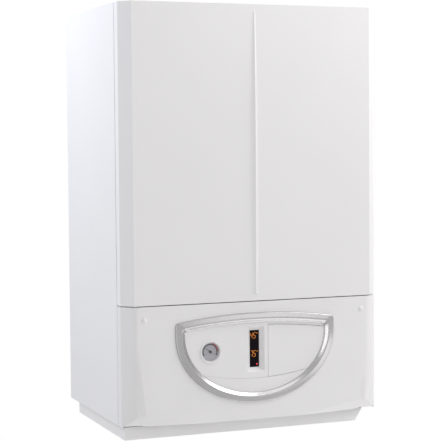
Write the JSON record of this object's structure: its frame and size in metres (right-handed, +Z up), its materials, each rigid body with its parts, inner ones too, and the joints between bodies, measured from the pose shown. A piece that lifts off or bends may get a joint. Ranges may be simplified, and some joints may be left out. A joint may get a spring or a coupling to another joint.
{
  "type": "gas boiler",
  "caption": "White wall-hung gas boiler with a built-in storage tank, a ribbed lift-off front cover and a tilting lower panel with a half-moon fascia, gauge, display and hinged door.",
  "frame": {"origin": "on the wall plane, at the middle of the casing's lower edge", "axes": "+Z up, +Y towards the wall, +X to the right of someone who faces the boiler"},
  "size_m": [0.6, 0.432, 0.94],
  "materials": {
    "white_enamel": "satin",
    "white_moulding": "satin",
    "silver_lacquer": "satin",
    "grey_moulding": "matte",
    "dark_lens": "gloss",
    "clear_glass": "gloss",
    "dial_print": "matte",
    "black_paint": "matte",
    "red_moulding": "satin",
    "red_paint": "satin",
    "circuit_board": "matte",
    "galvanised_steel": "satin",
    "stainless_steel": "brushed",
    "copper": "satin",
    "brass": "satin",
    "cast_aluminium": "matte",
    "cast_iron": "matte",
    "motor_paint": "satin",
    "fire_board": "matte"
  },
  "bodies": {
    "casing": {"back_frame": "galvanised_steel", "left_side_panel": "white_enamel", "right_side_panel": "white_enamel", "top_panel": "white_enamel", "bottom_rail": "galvanised_steel", "front_crossbar": "galvanised_steel", "plinth": "white_enamel", "pipe_shelf": "galvanised_steel", "air_collar": "cast_aluminium", "sealed_chamber": "galvanised_steel", "chamber_cover": "galvanised_steel", "combustion_chamber": "fire_board", "burner": "stainless_steel", "ignition_electrodes": "fire_board", "heat_exchanger": "copper", "flue_hood": "galvanised_steel", "fan_housing": "cast_aluminium", "fan_motor": "motor_paint", "flue_pipe": "cast_aluminium", "expansion_vessel": "red_paint", "storage_tank": "stainless_steel", "tank_flange": "stainless_steel", "plate_heat_exchanger": "stainless_steel", "pump_housing": "cast_iron", "pump_motor": "motor_paint", "diverter_valve": "brass", "heating_flow_pipe": "copper", "heating_return_pipe": "copper", "pump_delivery_pipe": "copper", "cold_water_pipe": "copper", "hot_water_pipe": "copper", "gas_pipes": "copper", "circuit_pipes": "copper", "gas_valve": "cast_aluminium", "safety_valve": "brass"},
    "cover": {"front_cover": "white_enamel"},
    "control_panel": {"lower_panel": "white_moulding", "bezel_ring": "silver_lacquer", "fascia": "white_moulding", "lower_trim": "white_moulding", "display_window": "dark_lens", "display_board": "circuit_board", "gauge_case": "white_moulding", "gauge_dial": "dial_print", "gauge_glass": "clear_glass", "control_box": "grey_moulding", "control_board": "circuit_board", "selector_board": "grey_moulding", "fixing_caps": "white_moulding", "fixing_studs": "galvanised_steel", "pivot_pins": "galvanised_steel"},
    "door": {"control_door": "white_moulding"},
    "needle": {"gauge_needle": "black_paint"},
    "mode_selector": {"mode_knob": "grey_moulding"},
    "hot_water_selector": {"hot_water_knob": "grey_moulding"},
    "heating_selector": {"heating_knob": "grey_moulding"},
    "fan_rotor": {"fan_impeller": "cast_aluminium"},
    "pump_wheel": {"pump_rotor": "cast_iron"},
    "relief_knob": {"safety_knob": "red_moulding"}
  },
  "joints": [
    {"name": "cover_slide", "type": "slide", "parent": "casing", "child": "cover", "axis": [0, -1, 0], "range_m": [0, 0.2]},
    {"name": "panel_tilt", "type": "hinge", "parent": "casing", "child": "control_panel", "pos_m": [0, -0.401, 0.005], "axis": [1, 0, 0], "range_deg": [0, 40]},
    {"name": "door_hinge", "type": "hinge", "parent": "control_panel", "child": "door", "pos_m": [0.0302, -0.4228, 0.15], "axis": [0, 0, -1], "range_deg": [0, 100]},
    {"name": "needle_turn", "type": "hinge", "parent": "control_panel", "child": "needle", "pos_m": [-0.106, -0.421, 0.1535], "axis": [0, 1, 0], "range_deg": [-67.4, 170.6]},
    {"name": "mode_turn", "type": "hinge", "parent": "control_panel", "child": "mode_selector", "pos_m": [0.056, -0.405, 0.15], "axis": [0, 1, 0], "range_deg": [-135, 135]},
    {"name": "hot_water_turn", "type": "hinge", "parent": "control_panel", "child": "hot_water_selector", "pos_m": [0.094, -0.405, 0.15], "axis": [0, 1, 0], "range_deg": [-135, 135]},
    {"name": "heating_turn", "type": "hinge", "parent": "control_panel", "child": "heating_selector", "pos_m": [0.132, -0.405, 0.15], "axis": [0, 1, 0], "range_deg": [-135, 135]},
    {"name": "fan_spin", "type": "hinge", "parent": "casing", "child": "fan_rotor", "pos_m": [-0.155, -0.2425, 0.752], "axis": [0, 1, 0], "continuous": true},
    {"name": "pump_spin", "type": "hinge", "parent": "casing", "child": "pump_wheel", "pos_m": [0.22, -0.122, 0.13], "axis": [0, 1, 0], "continuous": true},
    {"name": "relief_turn", "type": "hinge", "parent": "casing", "child": "relief_knob", "pos_m": [0.1, -0.17, 0.13], "axis": [0, 1, 0], "range_deg": [0, 90]}
  ]
}
